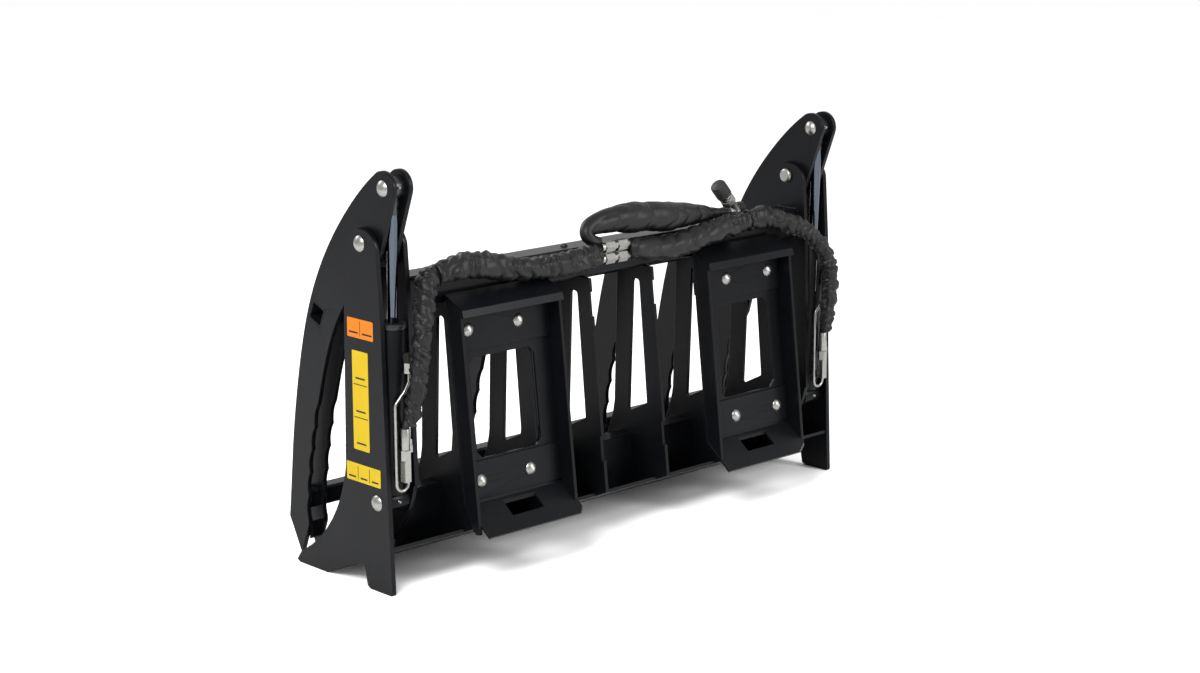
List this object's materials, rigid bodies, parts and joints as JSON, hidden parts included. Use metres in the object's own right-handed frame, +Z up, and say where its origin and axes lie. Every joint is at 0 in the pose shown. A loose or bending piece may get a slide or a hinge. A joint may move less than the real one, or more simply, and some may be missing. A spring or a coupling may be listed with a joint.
{
  "type": "hydraulic grapple attachment",
  "caption": "Hydraulic grapple for a compact loader: ribbed frame with floor plate, toothed jaw on a top pivot, end cylinders, sleeved hoses and quick-attach plates.",
  "frame": {"origin": "centre of the bounding box at ground level, under the closed grapple", "axes": "+X to the right seen from the loader, +Y forward from the loader's side to the jaw, +Z up"},
  "size_m": [1.5329, 0.5198, 0.9822],
  "materials": {
    "black_paint": "semi-gloss powder coat",
    "black_steel": "satin black oxide",
    "zinc_plate": "zinc plated",
    "bare_steel": "machined",
    "chromed_steel": "polished",
    "bronze": "machined",
    "sleeve_fabric": "woven nylon",
    "sleeve_tie": "matte",
    "hose_rubber": "matte"
  },
  "bodies": {
    "frame": {"end_plate_left": "black_paint", "end_plate_right": "black_paint", "inner_plate_left": "black_paint", "inner_plate_right": "black_paint", "floor_plate": "black_paint", "rear_beam": "black_paint", "top_tube": "black_paint", "rib_1": "black_paint", "rib_2": "black_paint", "rib_3": "black_paint", "rib_4": "black_paint", "rib_5": "black_paint", "rib_6": "black_paint", "back_bars": "black_paint", "mount_plate_left": "black_paint", "mount_plate_right": "black_paint", "mount_rails": "black_paint", "mount_bars": "black_paint", "mount_bolts": "zinc_plate", "mount_nuts": "zinc_plate", "hinge_pins": "zinc_plate", "hinge_pin_caps": "zinc_plate", "hose_sleeve_left": "sleeve_fabric", "hose_sleeve_middle": "sleeve_fabric", "hose_sleeve_right": "sleeve_fabric", "supply_sleeve": "sleeve_fabric", "supply_hoses": "hose_rubber", "dust_caps": "hose_rubber", "hose_clips": "sleeve_tie", "hose_unions": "zinc_plate", "quick_couplers": "zinc_plate"},
    "jaw": {"arm_outer_left": "black_paint", "arm_inner_left": "black_paint", "arm_outer_right": "black_paint", "arm_inner_right": "black_paint", "jaw_cross_tube": "black_paint", "jaw_lower_tube": "black_paint", "jaw_tine_1": "black_paint", "jaw_tine_2": "black_paint", "jaw_tine_3": "black_paint", "jaw_tine_4": "black_paint", "jaw_tine_5": "black_paint", "arm_spacers": "black_paint", "rod_pin_ends": "zinc_plate", "pivot_bushes": "bronze"},
    "barrel_left": {"cylinder_barrel_left": "black_paint", "cylinder_gland_left": "black_steel", "steel_line_left": "zinc_plate", "hose_ends_left": "zinc_plate"},
    "barrel_right": {"cylinder_barrel_right": "black_paint", "cylinder_gland_right": "black_steel", "steel_line_right": "zinc_plate", "hose_ends_right": "zinc_plate"},
    "rod_left": {"rod_left": "chromed_steel", "piston_left": "bare_steel", "rod_pin_left": "zinc_plate"},
    "rod_right": {"rod_right": "chromed_steel", "piston_right": "bare_steel", "rod_pin_right": "zinc_plate"}
  },
  "joints": [
    {"name": "jaw_pivot", "type": "hinge", "parent": "frame", "child": "jaw", "pos_m": [0, -0.05916, 0.8117], "axis": [1, 0, 0], "range_deg": [0, 95]},
    {"name": "barrel_left_hinge", "type": "hinge", "parent": "frame", "child": "barrel_left", "pos_m": [-0.7155, -0.10406, 0.213], "axis": [1, 0, 0], "range_deg": [0, 7.03], "deforming": ["hose_sleeve_left"]},
    {"name": "rod_left_slide", "type": "slide", "parent": "barrel_left", "child": "rod_left", "axis": [0, 0.0282, -0.9996], "range_m": [0, 0.20142]},
    {"name": "barrel_right_hinge", "type": "hinge", "parent": "frame", "child": "barrel_right", "pos_m": [0.7155, -0.10406, 0.213], "axis": [1, 0, 0], "range_deg": [0, 7.03], "deforming": ["hose_sleeve_right"]},
    {"name": "rod_right_slide", "type": "slide", "parent": "barrel_right", "child": "rod_right", "axis": [0, 0.0282, -0.9996], "range_m": [0, 0.20142]}
  ],
  "couplings": [
    {"joint": "barrel_left_hinge", "follows": "jaw_pivot", "ratio": 0.073988},
    {"joint": "rod_left_slide", "follows": "jaw_pivot", "m_per_rad": 0.12147},
    {"joint": "barrel_right_hinge", "follows": "jaw_pivot", "ratio": 0.073988},
    {"joint": "rod_right_slide", "follows": "jaw_pivot", "m_per_rad": 0.12147}
  ]
}
